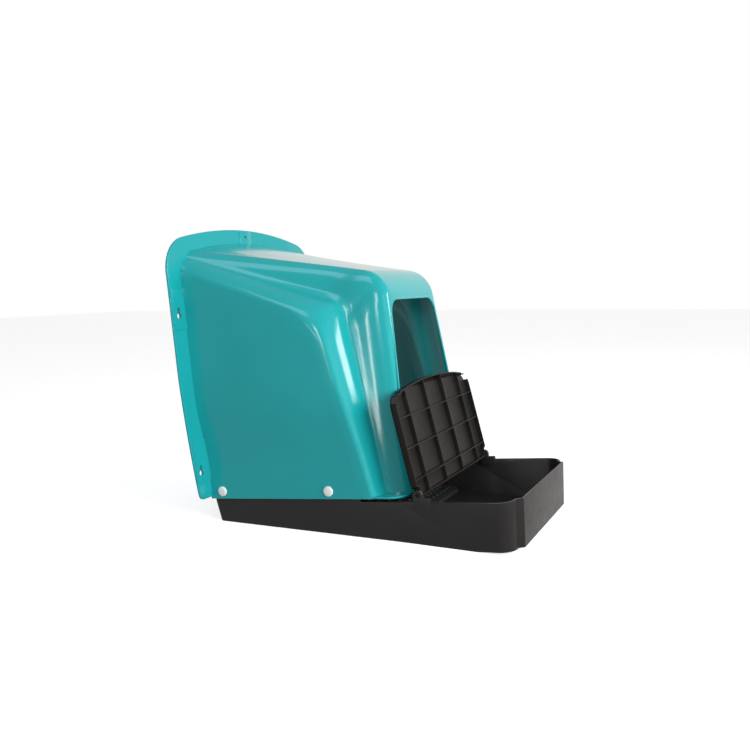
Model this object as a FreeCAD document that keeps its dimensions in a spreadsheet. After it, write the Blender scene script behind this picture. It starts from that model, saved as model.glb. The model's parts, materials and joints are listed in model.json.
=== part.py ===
"""Wall-hung roll-away nesting box: a moulded hood over a tray with a sloping floor, and a hinged egg lid.

Working frame of every sub-part: X across the box, -Y forward from the wall, +Z up, with the tray's rim at
Z = 0 and the wall plane at Y = 0. Each sub-part's Placement then lowers it so that the origin is the centre
of the top fixing hole on the wall plane. All lengths are millimetres.
"""

import FreeCAD, Part
import math
import os
import Sketcher
from FreeCAD import Placement, Rotation, Vector

DOC = FreeCAD.newDocument("nesting_box")
SHEET = DOC.addObject("Spreadsheet::Sheet", "sizes")

SIZES = {
    # tray
    "tray_half_front": 150.0,
    "tray_half_rear": 160.6,
    "tray_straight": 312.0,  # distance from the wall at which the tray stops tapering
    "tray_length": 486.0,
    "tray_rear_gap": 1.0,
    "tray_wall": 2.6,
    "tray_depth_front": 68.5,
    "tray_level_length": 62.0,
    "tray_floor_slope": 5.1,
    "tray_draft": 3.4,
    "tray_rear_draft": 11.0,
    "tray_corner": 25.0,
    "tray_rear_corner": 11.0,
    "face_half": 118.0,
    "face_step": 8.0,
    "face_step_run": 6.0,
    "skirt_height": 27.0,
    "skirt_front": 256.0,
    # lid hinge
    "hinge_forward": 344.5,
    "hinge_up": 9.0,
    "ear_radius": 7.0,
    "ear_thick": 6.0,
    "ear_block_front": 362.5,
    "ear_block_top": 4.6,
    "ear_root": 10.0,  # how far each lug runs down the inside of the tray's wall
    "pin_radius": 3.0,
    "pin_gap": 0.08,
    "pin_extra": 1.7,  # how much longer each pin is than its lug, to cross the side gap
    # lid
    "lid_lean": 9.8,
    "lid_deep": 9.5,
    "lid_skin": 2.2,
    "lid_half": 151.0,
    "lid_half_foot": 142.4,
    "lid_foot_run": 9.5,
    "lid_heel": 3.5,
    "lid_shoulder": 143.5,
    "lid_crown": 155.5,
    "lid_lip_half": 127.0,
    "lid_lip_step": 2.4,
    "lid_foot_slant": 3.0,
    "lid_corner": 21.0,
    "rib_below_rim": 1.0,
    "lid_tip_ahead": 3.5,
    "rib_thick": 1.8,
    "rib_column": 71.5,
    "rib_low": 20.5,
    "rib_mid": 66.0,
    "rib_high": 109.5,
    # hood
    "hood_wall": 2.6,
    "hood_bottom": 4.5,
    "hood_half_front": 153.0,
    "hood_half_rear": 164.0,
    "hood_bulge_front": 2.5,
    "hood_bulge_rear": 15.5,
    "bulge_from": 45.0,  # heights over the rim between which the side panel swells
    "bulge_to": 175.0,
    "front_forward": 324.0,
    "front_lean": 0.079,
    "roof_rear": 393.0,
    "roof_fall": 0.233,
    "roof_round": 47.0,
    "roof_crown": 2.0,  # rise of the roof's middle over its edges, just behind the round
    "roof_crown_growth": 12.0,  # and how much more it is at the wall
    "crease_forward": 288.5,
    "crease_lean": 0.184,
    "crease_rear": 380.0,
    "crease_fall": 0.40,
    "crease_round": 28.0,
    "ridge_forward": 277.5,
    "ridge_lean": 0.215,
    "ridge_rear": 359.7,
    "ridge_fall": 0.4076,
    "ridge_round": 105.0,
    "arch_half_foot": 127.3,
    "arch_taper": 0.062,
    "arch_flare": 0.239,
    "arch_flare_from": 240.0,
    "arch_flare_blend": 18.0,
    "edge_set_in": 26.0,  # how far the rounded edge between arch and crown reaches across the crown
    "edge_set_back": 29.0,  # and down the arch, at the rim
    "edge_set_back_growth": 0.1,
    "edge_set_back_top": 300.0,
    "lip_front": 325.5,
    "lip_back": 262.0,
    "lip_half": 153.4,
    "lip_corner": 27.0,
    "lip_thick": 3.0,
    # entrance
    "door_sill": 72.0,
    "door_half_sill": 105.5,
    "door_half_mid": 101.0,
    "door_mid": 153.0,
    "door_top": 284.5,
    "door_half_top": 82.5,
    "door_corner": 27.0,
    "door_sill_corner": 18.0,
    "door_cut_from": 224.0,  # the doorway is cut from inside the hood, this far from the wall
    "door_cut_deep": 130.0,
    # flange
    "flange_thick": 3.0,
    "flange_foot": 8.0,
    "flange_half_foot": 193.0,
    "flange_half": 208.5,
    "flange_widest": 200.0,
    "flange_shoulder": 350.0,
    "flange_half_top": 163.0,
    "flange_side_top": 411.0,
    "flange_top": 428.5,
    "flange_foot_round": 9.0,
    "flange_bow_x": 203.4,  # a point halfway along the curved side between foot and widest place
    "flange_bow_up": 113.6,
    "flange_haunch_x": 196.0,  # a point halfway round the shoulder
    "flange_haunch_up": 391.0,
    "pad_thick": 1.2,
    "top_pad_half": 16.0,
    "top_pad_from": 395.0,
    "top_pad_to": 426.5,
    "upper_pad_inner": 170.0,
    "upper_pad_outer": 207.0,
    "upper_pad_from": 270.0,
    "upper_pad_to": 332.0,
    "lower_pad_inner": 160.0,
    "lower_pad_outer": 196.0,
    "lower_pad_from": 36.0,
    "lower_pad_to": 101.0,
    # fixing holes
    "top_hole_up": 417.0,
    "top_hole_radius": 2.6,
    "key_radius": 4.6,
    "key_slot_half": 2.3,
    "key_slot_rise": 10.5,
    "key_upper_half": 194.0,
    "key_upper_up": 291.0,
    "key_lower_half": 184.6,
    "key_lower_up": 49.5,
    # rivets
    "rivet_up": 16.0,
    "rivet_rear_forward": 23.0,
    "rivet_front_forward": 207.5,
    "rivet_head_radius": 7.7,
    "rivet_head_high": 2.6,
    "rivet_shank_radius": 3.0,
    "rivet_hole_radius": 3.25,
    "rivet_core_radius": 1.6,
    "rivet_core_long": 8.8,
    "rivet_gap": 0.1,
    "rivet_slack": 0.85,
    "socket_head_radius": 6.6,
    "socket_head_high": 2.0,
    # nest mat
    "mat_thick": 7.0,
    "mat_rear": 16.0,
    "mat_front": 300.0,
    "mat_half": 141.0,
    "mat_corner": 18.0,
    "mat_gap": 0.5,
}

FAN_BACK = 40.0  # the fan of hood sections turns about a line this far behind the wall
FAN_BELOW = 40.0  # and this far below the rim
FAN_ENDS = (4.0, 97.0)  # the first and last section, in degrees above level
FAN_ROUND = (42.0, 57.0)  # between these angles the front turns into the roof
FAN_STEPS = (3.0, 0.75)  # degrees between sections outside and inside that range
FAN_START = 60.0  # distance of each section's closing line from that axis
ROUND_START = 1.2  # the side turns inward this share of the ridge's depth under the crease
ROUND_PULLS = ((0.985, 0.72), (0.55, 0.16))  # shares of the shoulder's width and of that depth
EDGE_PULL = 0.3  # share of that edge's width that its curve is aimed at, so it starts with a slight crease
FAN_CROWN = (44.0, 56.0)  # the roof's crown begins between these angles
FAN_ROOF = (50.0, 84.7)  # and grows between these, as far as the wall
FACET_LEAST = 0.8  # the rounded edge takes at most this share of the arch's side
SIDE_POINTS = 7
CLEAR = 2.0  # how far a cutting tool starts outside what it cuts
SOCKET_SHOULDER = 0.6  # share of a socket head's height at which its bevel begins


def fill_sheet():
    for row, (alias, value) in enumerate(SIZES.items(), start=1):
        SHEET.set(f"A{row}", alias)
        SHEET.set(f"B{row}", str(value))
        SHEET.setAlias(f"B{row}", alias)
    DOC.recompute()


def size(alias):
    return float(SHEET.get(alias))


def settle(obj, label, local=None):
    """Gives a finished sub-part its label and its place under the top fixing hole."""
    obj.Label = label
    obj.Placement = local or Placement()
    obj.setExpression("Placement.Base.z", f"{obj.Placement.Base.z} - sizes.top_hole_up")
    return obj


def feature(label, shape):
    """A sub-part whose form comes from formulas, with its shape set once."""
    obj = DOC.addObject("Part::Feature", label)
    obj.Shape = shape
    return settle(obj, label)


def prism(points, direction):
    """A solid between a closed polygon and its copy moved along a direction."""
    face = Part.Face(Part.makePolygon([*points, points[0]]))
    return face.extrude(direction)


def rounded_wire(corners):
    """A closed flat outline from (point, radius) corners, with its round corners as arcs."""
    starts = []
    ends = []
    arcs = []
    count = len(corners)
    for i, (point, radius) in enumerate(corners):
        back = (corners[i - 1][0] - point).normalize()
        ahead = (corners[(i + 1) % count][0] - point).normalize()
        half_angle = back.getAngle(ahead) / 2
        setback = radius / math.tan(half_angle)
        starts.append(point + back * setback)
        ends.append(point + ahead * setback)
        middle = point + (back + ahead).normalize() * (radius / math.sin(half_angle) - radius)
        arcs.append(Part.Arc(starts[i], middle, ends[i]).toShape() if radius else None)
    edges = []
    for i in range(count):
        if arcs[i]:
            edges.append(arcs[i])
        edges.append(Part.makeLine(ends[i], starts[(i + 1) % count]))
    return Part.Wire(edges)


def edges_along(shape, axis, test):
    """The straight edges of a shape that run along an axis and whose middle passes a test."""
    found = []
    for edge in shape.Edges:
        if edge.Curve.TypeId != "Part::GeomLine":
            continue
        if abs(edge.tangentAt(edge.FirstParameter).dot(axis)) < 0.9:
            continue
        middle = (edge.Vertexes[0].Point + edge.Vertexes[-1].Point) * 0.5
        if test(middle):
            found.append(edge)
    return found


# ---------------------------------------------------------------- hood


def share_between(value, low, high):
    return min(1.0, max(0.0, (value - low) / (high - low)))


def smooth_step(value, low, high):
    t = share_between(value, low, high)
    return t * t * (3 - 2 * t)


def side_half(forward, up):
    """Half width of the hood's side panel: straight over the tray, bulging outward above it."""
    reach = (size("tray_straight") - forward) / size("tray_straight")
    foot = size("hood_half_front") + reach * (size("hood_half_rear") - size("hood_half_front"))
    bulge = size("hood_bulge_front") + reach * (size("hood_bulge_rear") - size("hood_bulge_front"))
    return foot + bulge * smooth_step(up, size("bulge_from"), size("bulge_to"))


def arch_half(forward, up):
    """Half width of the narrower arch that stands out of the hood's body."""
    blend = size("arch_flare_blend")
    behind = size("arch_flare_from") - forward
    soft = 0.5 * (behind + math.sqrt(behind * behind + blend * blend))
    return size("arch_half_foot") - size("arch_taper") * up + size("arch_flare") * soft


def profile_reach(angle, forward, lean, rear, fall, rounding):
    """Distance from the fan's axis to a side-view profile: a leaning front, a round and a falling roof."""
    front = Vector(forward, 0, 0)
    front_way = Vector(-lean, 1, 0).normalize()
    roof = Vector(0, rear, 0)
    roof_way = Vector(1, -fall, 0).normalize()
    cross = front_way.x * roof_way.y - front_way.y * roof_way.x
    gap = roof - front
    along = (gap.x * roof_way.y - gap.y * roof_way.x) / cross
    corner = front + front_way * along
    turn = math.acos(-front_way.dot(roof_way))
    setback = rounding * math.tan(turn / 2)
    start = corner - front_way * setback
    end = corner - roof_way * setback
    inward = Vector(-front_way.y, front_way.x, 0)
    centre = start + inward * rounding
    axis = Vector(-FAN_BACK, -FAN_BELOW, 0)
    ray = Vector(math.cos(math.radians(angle)), math.sin(math.radians(angle)), 0)

    def line_reach(point, way):
        gap = point - axis
        return (gap.x * way.y - gap.y * way.x) / (ray.x * way.y - ray.y * way.x)

    def bearing(point):
        gap = point - axis
        return math.degrees(math.atan2(gap.y, gap.x))

    if angle <= bearing(start):
        return line_reach(front, front_way)
    if angle >= bearing(end):
        return line_reach(roof, roof_way)
    to_centre = centre - axis
    middle = to_centre.dot(ray)
    return middle + math.sqrt(rounding**2 - to_centre.dot(to_centre) + middle**2)


def named_reach(name, angle):
    sizes = [size(f"{name}_{word}") for word in ("forward", "lean", "rear", "fall", "round")]
    return profile_reach(angle, *sizes)


def front_reach(angle):
    front = size("front_forward"), size("front_lean")
    return profile_reach(angle, *front, size("roof_rear"), size("roof_fall"), size("roof_round"))


def fan_place(angle, reach):
    """Distance forward of the wall and height above the rim of a point in one fan section."""
    turn = math.radians(angle)
    return reach * math.cos(turn) - FAN_BACK, reach * math.sin(turn) - FAN_BELOW


def half_section(angle, skin):
    """Key points of half a hood section as (half width, reach) pairs, set in by a skin thickness."""
    ridge = named_reach("ridge", angle) - skin
    crease = named_reach("crease", angle) - skin
    crown = front_reach(angle) - skin
    side = []
    start = crease - ROUND_START * (crease - ridge)
    for i in range(SIDE_POINTS):
        reach = FAN_START + (start - FAN_START) * i / (SIDE_POINTS - 1)
        side.append((side_half(*fan_place(angle, reach)) - skin, reach))
    shoulder = side_half(*fan_place(angle, crease)) - skin
    inner = arch_half(*fan_place(angle, crease)) - skin
    pulls = []
    for across, down in ROUND_PULLS:
        pulls.append((inner + across * (shoulder - inner), crease - down * (crease - ridge)))
    outer_up = fan_place(angle, crown)[1]
    facet = arch_half(*fan_place(angle, crown)) - skin
    grown = max(0.0, min(outer_up, size("edge_set_back_top")))
    set_back = size("edge_set_back") + size("edge_set_back_growth") * grown
    set_in = size("edge_set_in")
    facet_end = crown - min(set_back, FACET_LEAST * (crown - crease))
    return {
        "side": side,
        "round": [side[-1], *pulls, (inner, crease)],
        "facet": [(inner, crease), (facet, facet_end)],
        "edge": [(facet, facet_end), (facet - EDGE_PULL * set_in, crown), (facet - set_in, crown)],
        "flat": (facet - set_in, crown),
    }


def section_wire(angle, skin):
    """One closed section of the hood, in a plane that holds the fan's axis."""
    half = half_section(angle, skin)

    def place(half_width, reach, sign):
        forward, up = fan_place(angle, reach)
        return Vector(sign * half_width, -forward, up)

    def spline(points):
        curve = Part.BSplineCurve()
        curve.interpolate(points)
        return curve.toShape()

    def bezier(points):
        curve = Part.BezierCurve()
        curve.setPoles(points)
        return curve.toShape()

    def stretch(name, sign):
        return [place(*pair, sign) for pair in half[name]]

    edges = [spline(stretch("side", -1)), bezier(stretch("round", -1))]
    edges += [Part.makeLine(*stretch("facet", -1)), bezier(stretch("edge", -1))]
    flat_half, reach = half["flat"]
    crown = size("roof_crown") * smooth_step(angle, *FAN_CROWN)
    crown += size("roof_crown_growth") * share_between(angle, *FAN_ROOF) ** 2
    top = place(0, reach + 2 * crown, 1)
    edges.append(bezier([place(flat_half, reach, -1), top, place(flat_half, reach, 1)]))
    edges += [bezier(stretch("edge", 1)[::-1]), Part.makeLine(*stretch("facet", 1)[::-1])]
    edges += [bezier(stretch("round", 1)[::-1]), spline(stretch("side", 1)[::-1])]
    foot = half["side"][0]
    edges.append(Part.makeLine(place(*foot, 1), place(*foot, -1)))
    return Part.Wire(edges)


def fan_angles():
    """The angles of the hood's sections."""
    angles = [FAN_ENDS[0]]
    while angles[-1] < FAN_ENDS[1]:
        inside = FAN_ROUND[0] <= angles[-1] < FAN_ROUND[1]
        angles.append(angles[-1] + (FAN_STEPS[1] if inside else FAN_STEPS[0]))
    return angles


def hood_form(skin, bottom):
    """The hood as a full block, set in by a skin thickness, from its bottom edge to the wall plane."""
    block = Part.makeLoft([section_wire(angle, skin) for angle in fan_angles()], True, True)
    reach = 900.0
    keep = Part.makeBox(reach, reach, reach, Vector(-reach / 2, -reach, bottom))
    return block.common(keep)


def flange_plate():
    """The wall flange's outline: narrow feet, upright legs, round shoulders and a shallow arch on top."""
    foot = Vector(size("flange_half_foot"), 0, size("flange_foot"))
    widest = Vector(size("flange_half"), 0, size("flange_widest"))
    shoulder = Vector(size("flange_half"), 0, size("flange_shoulder"))
    side_top = Vector(size("flange_half_top"), 0, size("flange_side_top"))
    top = Vector(0, 0, size("flange_top"))
    bow = Vector(size("flange_bow_x"), 0, size("flange_bow_up"))
    haunch = Vector(size("flange_haunch_x"), 0, size("flange_haunch_up"))

    def mirrored(point):
        return Vector(-point.x, 0, point.z)

    edges = [Part.makeLine(mirrored(foot), foot)]
    edges.append(Part.Arc(foot, bow, widest).toShape())
    edges.append(Part.makeLine(widest, shoulder))
    edges.append(Part.Arc(shoulder, haunch, side_top).toShape())
    edges.append(Part.Arc(side_top, top, mirrored(side_top)).toShape())
    edges.append(Part.Arc(mirrored(side_top), mirrored(haunch), mirrored(shoulder)).toShape())
    edges.append(Part.makeLine(mirrored(shoulder), mirrored(widest)))
    edges.append(Part.Arc(mirrored(widest), mirrored(bow), mirrored(foot)).toShape())
    plate = Part.Face(Part.Wire(edges)).extrude(Vector(0, -size("flange_thick"), 0))
    feet = edges_along(plate, Vector(0, 1, 0), lambda p: p.z < size("flange_foot") + 1)
    return plate.makeFillet(size("flange_foot_round"), feet)


def pad(low_x, high_x, low_z, high_z):
    """A raised rectangle on the front of the flange."""
    thick = size("flange_thick") + size("pad_thick")
    return Part.makeBox(high_x - low_x, thick, high_z - low_z, Vector(low_x, -thick, low_z))


def flange_pads():
    """Raised pads round the top screw hole and the four keyholes."""
    half = size("top_pad_half")
    pads = [pad(-half, half, size("top_pad_from"), size("top_pad_to"))]
    for row in ("upper", "lower"):
        near, far, low, high = (size(f"{row}_pad_{word}") for word in ("inner", "outer", "from", "to"))
        pads += [pad(-far, -near, low, high), pad(near, far, low, high)]
    return pads


def front_lip():
    """The turned-out edge that closes the hood's steps along its front bottom edge."""
    half = size("lip_half")
    front = -size("lip_front")
    back = -size("lip_back")
    up = size("hood_bottom")
    left = [Vector(-half, back, up), Vector(-half, front, up)]
    right = [Vector(half, front, up), Vector(half, back, up)]
    plate = prism(left + right, Vector(0, 0, size("lip_thick")))
    corners = edges_along(plate, Vector(0, 0, 1), lambda p: p.y < front + 1)
    return plate.makeFillet(size("lip_corner"), corners)


def doorway():
    """The hen's entrance, cut through the arch's front."""
    right = [
        (size("door_half_sill"), size("door_sill"), size("door_sill_corner")),
        (size("door_half_mid"), size("door_mid"), 0.0),
        (size("door_half_top"), size("door_top"), size("door_corner")),
    ]
    rear = -size("door_cut_from")
    outline = right + [(-x, z, radius) for x, z, radius in reversed(right)]
    corners = [(Vector(x, rear, z), radius) for x, z, radius in outline]
    return Part.Face(rounded_wire(corners)).extrude(Vector(0, -size("door_cut_deep"), 0))


def keyhole(half, up):
    """A keyhole: a round hole for the screw's head and a slot above it for its shank."""
    deep = 12.0
    back = Vector(half, CLEAR, up)
    way = Vector(0, -1, 0)
    slot = size("key_slot_half")
    rise = size("key_slot_rise")
    hole = Part.makeCylinder(size("key_radius"), deep, back, way)
    neck = Part.makeBox(2 * slot, deep, rise, Vector(half - slot, CLEAR - deep, up))
    tip = Part.makeCylinder(slot, deep, back + Vector(0, 0, rise), way)
    return hole.fuse([neck, tip])


def rivet_spots():
    """Name, side and distance from the wall of each of the four rivets."""
    for end in ("rear", "front"):
        for side, sign in (("left", -1), ("right", 1)):
            yield f"{end}_{side}", sign, size(f"rivet_{end}_forward")


def wall_taper():
    """Angle in degrees by which the hood's and the tray's side walls open towards the wall."""
    return math.degrees(math.atan((size("hood_half_rear") - size("hood_half_front")) / size("tray_straight")))


def rivet_place(sign, forward, outward):
    """The placement of a rivet piece: its own +Z points out of the side wall, a distance outward from it."""
    turn = Rotation(Vector(0, 0, 1), sign * -wall_taper()) * Rotation(Vector(0, 1, 0), sign * 90)
    face = Vector(sign * side_half(forward, size("rivet_up")), -forward, size("rivet_up"))
    return Placement(face + turn.multVec(Vector(0, 0, outward)), turn)


def rivet_holes():
    """The holes that the rivets pass through, in hood and tray alike."""
    holes = []
    deep = 16.0
    outside = 4.0
    for _, sign, forward in rivet_spots():
        hole = Part.makeCylinder(size("rivet_hole_radius"), deep)
        hole.Placement = rivet_place(sign, forward, outside - deep)
        holes.append(hole)
    return holes


def make_hood():
    skin = size("hood_wall")
    outer = hood_form(0.0, size("hood_bottom"))
    inner = hood_form(skin, 0.0)
    body = outer.fuse([flange_plate(), front_lip(), *flange_pads()])
    keys = []
    for row in ("upper", "lower"):
        half = size(f"key_{row}_half")
        up = size(f"key_{row}_up")
        keys += [keyhole(-half, up), keyhole(half, up)]
    deep = size("flange_thick") + size("pad_thick") + 2 * CLEAR
    top_hole = Part.makeCylinder(
        size("top_hole_radius"), deep, Vector(0, CLEAR, size("top_hole_up")), Vector(0, -1, 0)
    )
    hood = body.cut([inner, doorway(), top_hole, *keys, *rivet_holes()])
    return feature("hood", hood.removeSplitter())


# ---------------------------------------------------------------- tray


def tray_outline(inset, up, rear_inset):
    """The tray's plan outline, set in by a distance; the front face stands a step proud of the corners."""
    front = -size("tray_length") + inset
    step = front + size("face_step")
    half = size("tray_half_front") - inset
    face = size("face_half") - inset * math.tan(math.atan2(size("face_step"), size("face_step_run")) / 2)
    rear = -size("tray_rear_gap") - rear_inset
    right = [
        (Vector(face, front, up), 0.0),
        (Vector(face + size("face_step_run"), step, up), 0.0),
        (Vector(half, step, up), size("tray_corner") - inset),
        (Vector(half, -size("tray_straight"), up), 0.0),
        (Vector(size("tray_half_rear") - inset, rear, up), size("tray_rear_corner") - inset),
    ]
    return rounded_wire(right + [(Vector(-p.x, p.y, p.z), radius) for p, radius in reversed(right)])


def tray_block(inset, top, low):
    """A tapered block between two tray outlines."""
    draft = math.tan(math.radians(size("tray_draft")))
    rear_draft = math.tan(math.radians(size("tray_rear_draft")))
    wires = []
    for up in (top, low):
        below = max(0.0, -up)
        wires.append(tray_outline(inset + draft * below, up, inset + rear_draft * below))
    return Part.makeLoft(wires, True, True)


def floor_up(forward):
    """Height of the tray's underside: level under the egg trough, then rising to the wall."""
    rise = math.tan(math.radians(size("tray_floor_slope")))
    behind = size("tray_length") - size("tray_level_length") - forward
    return -size("tray_depth_front") + rise * max(0.0, behind)


def floor_keep(lift, top):
    """Everything between the tray's underside, lifted by a distance, and a height."""
    reach = 30.0
    front = size("tray_length") + reach
    bend = size("tray_length") - size("tray_level_length")
    profile = [
        (front, floor_up(front) + lift),
        (bend, floor_up(bend) + lift),
        (-reach, floor_up(-reach) + lift),
        (-reach, top),
        (front, top),
    ]
    half = size("tray_half_rear") + reach
    return prism([Vector(-half, -forward, up) for forward, up in profile], Vector(2 * half, 0, 0))


def tray_skirt():
    """The raised wall inside the hood that the rivets hold, open at the front."""
    wall = size("tray_wall")
    high = size("skirt_height")
    outer = Part.Face(tray_outline(0.0, 0.0, 0.0)).extrude(Vector(0, 0, high))
    inner = Part.Face(tray_outline(wall, -CLEAR, wall)).extrude(Vector(0, 0, high + 2 * CLEAR))
    wide = 2 * size("tray_half_rear")
    keep = Part.makeBox(wide, size("skirt_front"), high, Vector(-wide / 2, -size("skirt_front"), 0))
    return outer.cut(inner).common(keep)


def hinge_ear(sign):
    """A lug on the tray's rim that holds one of the lid's pins."""
    thick = size("ear_thick")
    outer = size("tray_half_front")
    low_x = min(sign * outer, sign * (outer - thick))
    way = Vector(1, 0, 0)
    centre = Vector(low_x, -size("hinge_forward"), size("hinge_up"))
    disc = Part.makeCylinder(size("ear_radius"), thick, centre, way)
    rear = -size("hinge_forward") + size("ear_radius")
    front = -size("ear_block_front")
    root = size("ear_root")
    wide = 2 * size("ear_radius")
    block = Part.makeBox(thick, rear - front, size("ear_block_top") + root, Vector(low_x, front, -root))
    neck = Part.makeBox(thick, wide, size("hinge_up") + root, Vector(low_x, rear - wide, -root))
    radius = size("pin_radius") + size("pin_gap")
    bore = Part.makeCylinder(radius, thick + 2 * CLEAR, centre - way * CLEAR, way)
    return disc.fuse([block, neck]).cut(bore)


def make_tray():
    wall = size("tray_wall")
    low = -size("tray_depth_front") - CLEAR
    outer = tray_block(0.0, 0.0, low).common(floor_keep(0.0, CLEAR))
    inner = tray_block(wall, CLEAR, low).common(floor_keep(wall, 2 * CLEAR))
    shell = outer.cut(inner)
    tray = shell.fuse([tray_skirt(), hinge_ear(-1), hinge_ear(1)])
    tray = tray.cut(rivet_holes())
    return feature("tray", tray.removeSplitter())


# ---------------------------------------------------------------- sketch helpers


def term(alias, factor=1.0, extra=0.0):
    """A length that follows the sheet: its expression text and its present value."""
    return f"{factor} * sizes.{alias} + {extra}", factor * size(alias) + extra


def new_sketch(body, name, role, lift=None):
    """A sketch on one of its body's origin planes, lifted along the plane's normal by a term."""
    sketch = body.newObject("Sketcher::SketchObject", name)
    plane = [o for o in body.Origin.OriginFeatures if o.Role == role][0]
    sketch.AttachmentSupport = [(plane, "")]
    sketch.MapMode = "FlatFace"
    if lift:
        sketch.AttachmentOffset = Placement(Vector(0, 0, lift[1]), Rotation())
        sketch.setExpression("AttachmentOffset.Base.z", lift[0])
    return sketch


def bind(sketch, constraint, text):
    index = sketch.addConstraint(constraint)
    sketch.setExpression(f"Constraints[{index}]", text)


def polygon_sketch(body, name, role, corners, lift=None):
    """A closed polygon whose corners are pairs of terms, measured from the sketch's origin."""
    sketch = new_sketch(body, name, role, lift)
    points = [Vector(across[1], along[1], 0) for across, along in corners]
    count = len(points)
    for i, point in enumerate(points):
        sketch.addGeometry(Part.LineSegment(point, points[(i + 1) % count]))
    for i, (across, along) in enumerate(corners):
        sketch.addConstraint(Sketcher.Constraint("Coincident", i, 2, (i + 1) % count, 1))
        bind(sketch, Sketcher.Constraint("DistanceX", -1, 1, i, 1, across[1]), across[0])
        bind(sketch, Sketcher.Constraint("DistanceY", -1, 1, i, 1, along[1]), along[0])
    return sketch


def circle_sketch(body, name, role, radius, lift=None):
    """A circle about the sketch's origin."""
    sketch = new_sketch(body, name, role, lift)
    sketch.addGeometry(Part.Circle(Vector(0, 0, 0), Vector(0, 0, 1), radius[1]))
    sketch.addConstraint(Sketcher.Constraint("Coincident", 0, 3, -1, 1))
    bind(sketch, Sketcher.Constraint("Radius", 0, radius[1]), radius[0])
    return sketch


def add_pad(body, name, sketch, length, kind="PartDesign::Pad", back=False):
    """A pad or a pocket of a sketch, with its length bound to a term."""
    item = body.newObject(kind, name)
    item.Profile = sketch
    item.Reversed = back
    item.setExpression("Length", length[0])
    DOC.recompute()
    return item


def add_fillet(body, name, radius, axis, test):
    """A fillet of the body's straight edges along an axis whose middle passes a test."""
    base = body.Tip
    chosen = edges_along(base.Shape, axis, test)
    names = [f"Edge{i}" for i, edge in enumerate(base.Shape.Edges, 1) if any(edge.isSame(c) for c in chosen)]
    item = body.newObject("PartDesign::Fillet", name)
    item.Base = (base, names)
    item.setExpression("Radius", radius[0])
    DOC.recompute()
    return item


# ---------------------------------------------------------------- lid


def lid_outline(inset):
    """The lid's outline from its heel, at the hinge, round to the domed finger lip, set in by a distance."""
    foot = term("lid_half_foot", 1.0, -inset)
    wide = term("lid_half", 1.0, -inset)
    step = size("lid_lip_step")
    rise = size("lid_crown") - size("lid_shoulder") - step
    right = [
        (foot, term("lid_heel", -1.0, inset)),
        (foot, term("lid_foot_run", 1.0, inset)),
        (wide, term("lid_foot_run", 1.0, size("lid_foot_slant") + inset)),
        (wide, term("lid_shoulder", 1.0, -inset)),
        (term("lid_lip_half", 1.0, -inset), term("lid_shoulder", 1.0, -inset)),
        (term("lid_lip_half", 1.0, -step - inset), term("lid_shoulder", 1.0, step - inset)),
    ]
    for share in (0.75, 0.5, 0.25):
        dome = step + rise * (1 - share**2)
        right.append((term("lid_lip_half", share), term("lid_shoulder", 1.0, dome - inset)))
    middle = [(term("lid_half", 0.0), term("lid_crown", 1.0, -inset))]
    left = [((f"-({across[0]})", -across[1]), along) for across, along in reversed(right)]
    return right + middle + left


def lid_rib(body, name, low, high, left, right):
    """A rib from the lid's skin to the plane of its rim, over a rectangle of terms."""
    corners = [(left, low), (right, low), (right, high), (left, high)]
    sunk = size("rib_below_rim")
    sketch = polygon_sketch(body, f"{name}_sketch", "XY_Plane", corners, term("lid_tip_ahead", 1.0, -sunk))
    add_pad(body, name, sketch, term("lid_deep", 1.0, -2 * sunk), back=True)


def make_lid():
    skin = size("lid_skin")
    half_rib = size("rib_thick") / 2
    body = DOC.addObject("PartDesign::Body", "lid")
    outline = polygon_sketch(body, "lid_outline", "XY_Plane", lid_outline(0.0), term("lid_tip_ahead"))
    add_pad(body, "lid_block", outline, term("lid_deep"), back=True)
    up = Vector(0, 0, 1)
    outermost = size("lid_half") - CLEAR
    add_fillet(
        body, "lid_corners", term("lid_corner"), up, lambda p: abs(p.x) > outermost and p.y > size("rib_high")
    )
    hollow = polygon_sketch(body, "lid_hollow", "XY_Plane", lid_outline(skin), term("lid_tip_ahead"))
    before = body.Tip.Shape.Volume
    add_pad(body, "lid_recess", hollow, term("lid_deep", 1.0, -skin), "PartDesign::Pocket")
    assert body.Tip.Shape.Volume < 0.6 * before, "the lid's recess cuts nothing"
    into_rim = skin / 2
    for number, alias in enumerate(("rib_low", "rib_mid", "rib_high"), 1):
        edge = term("lid_half", 1.0, -into_rim)
        mirrored_edge = (f"-({edge[0]})", -edge[1])
        sides = term(alias, 1.0, -half_rib), term(alias, 1.0, half_rib)
        lid_rib(body, f"cross_rib_{number}", *sides, mirrored_edge, edge)
    for number, factor in enumerate((-1.5, -0.5, 0.5, 1.5), 1):
        share = factor * size("rib_column") / size("lid_lip_half")
        dome = (size("lid_crown") - size("lid_shoulder")) * (1 - share**2)
        ends = term("lid_heel", -1.0, into_rim), term("lid_shoulder", 1.0, dome - skin)
        sides = term("rib_column", factor, -half_rib), term("rib_column", factor, half_rib)
        lid_rib(body, f"long_rib_{number}", *ends, *sides)
    for number, sign in enumerate((-1, 1), 1):
        start = term("lid_half_foot", sign, -sign * into_rim)
        pin = circle_sketch(body, f"pin_sketch_{number}", "YZ_Plane", term("pin_radius"), start)
        add_pad(body, f"pin_{number}", pin, term("ear_thick", 1.0, size("pin_extra")), back=sign < 0)
    lean = Rotation(Vector(1, 0, 0), 90 - size("lid_lean"))
    place = Placement(Vector(0, -size("hinge_forward"), size("hinge_up")), lean)
    return settle(body, "lid", place)


# ---------------------------------------------------------------- nest mat


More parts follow.
